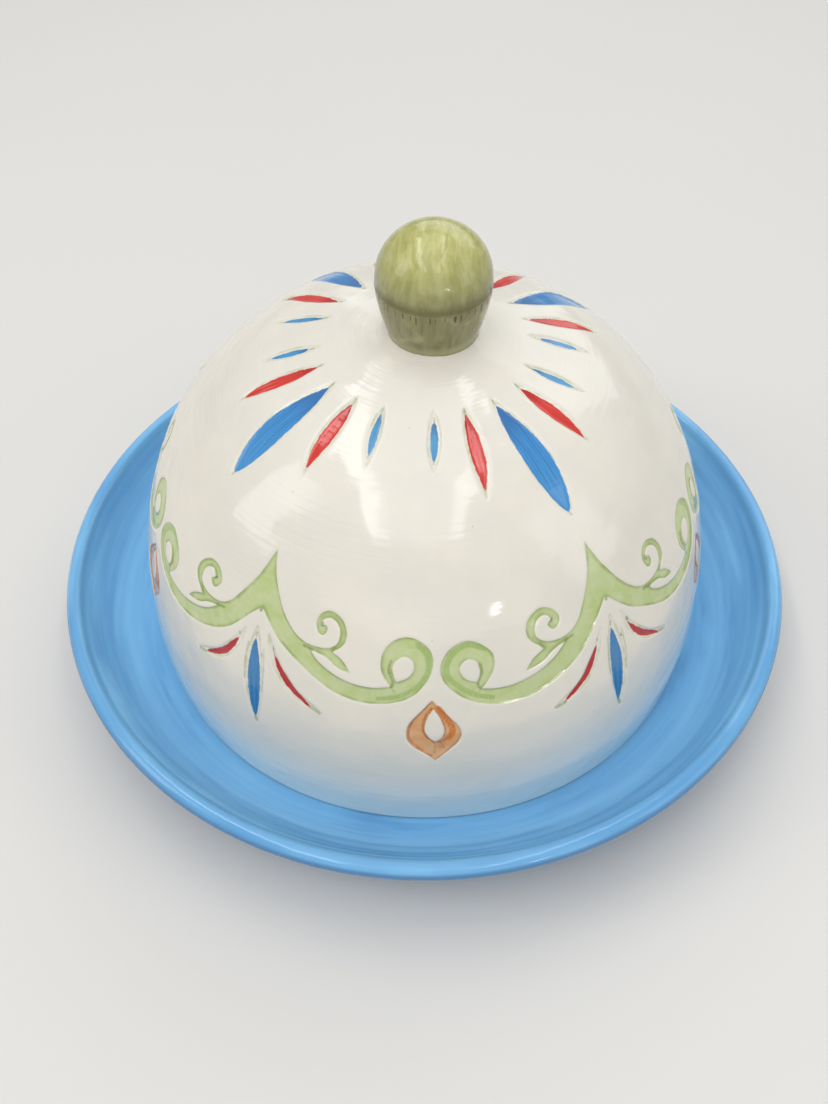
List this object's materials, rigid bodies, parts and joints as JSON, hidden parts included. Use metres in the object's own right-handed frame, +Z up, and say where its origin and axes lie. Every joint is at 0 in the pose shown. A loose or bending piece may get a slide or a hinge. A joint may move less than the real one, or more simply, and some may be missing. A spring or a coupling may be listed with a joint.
{
  "type": "domed serving dish",
  "caption": "Glazed ceramic serving dish: a footed plate with a raised rolled lip, and a tall hollow dome lid with a round finger knob that lifts straight off.",
  "frame": {"origin": "centre of the foot ring's underside, on the table", "axes": "+Z up along the dish's axis; -Y is the side that the viewer faces, +X to the viewer's right"},
  "size_m": [0.25, 0.25, 0.1643],
  "materials": {
    "blue_glaze": "glossy sky blue glaze, brushed in rings",
    "cream_glaze": "glossy warm white glaze with painted relief",
    "green_glaze": "glossy olive green glaze with brush streaks"
  },
  "bodies": {
    "plate": {"plate": "blue_glaze"},
    "lid": {"dome_lid": "cream_glaze", "knob": "green_glaze"}
  },
  "joints": [
    {"name": "lid_lift", "type": "slide", "parent": "plate", "child": "lid", "axis": [0, 0, 1], "range_m": [0, 0.15]}
  ]
}
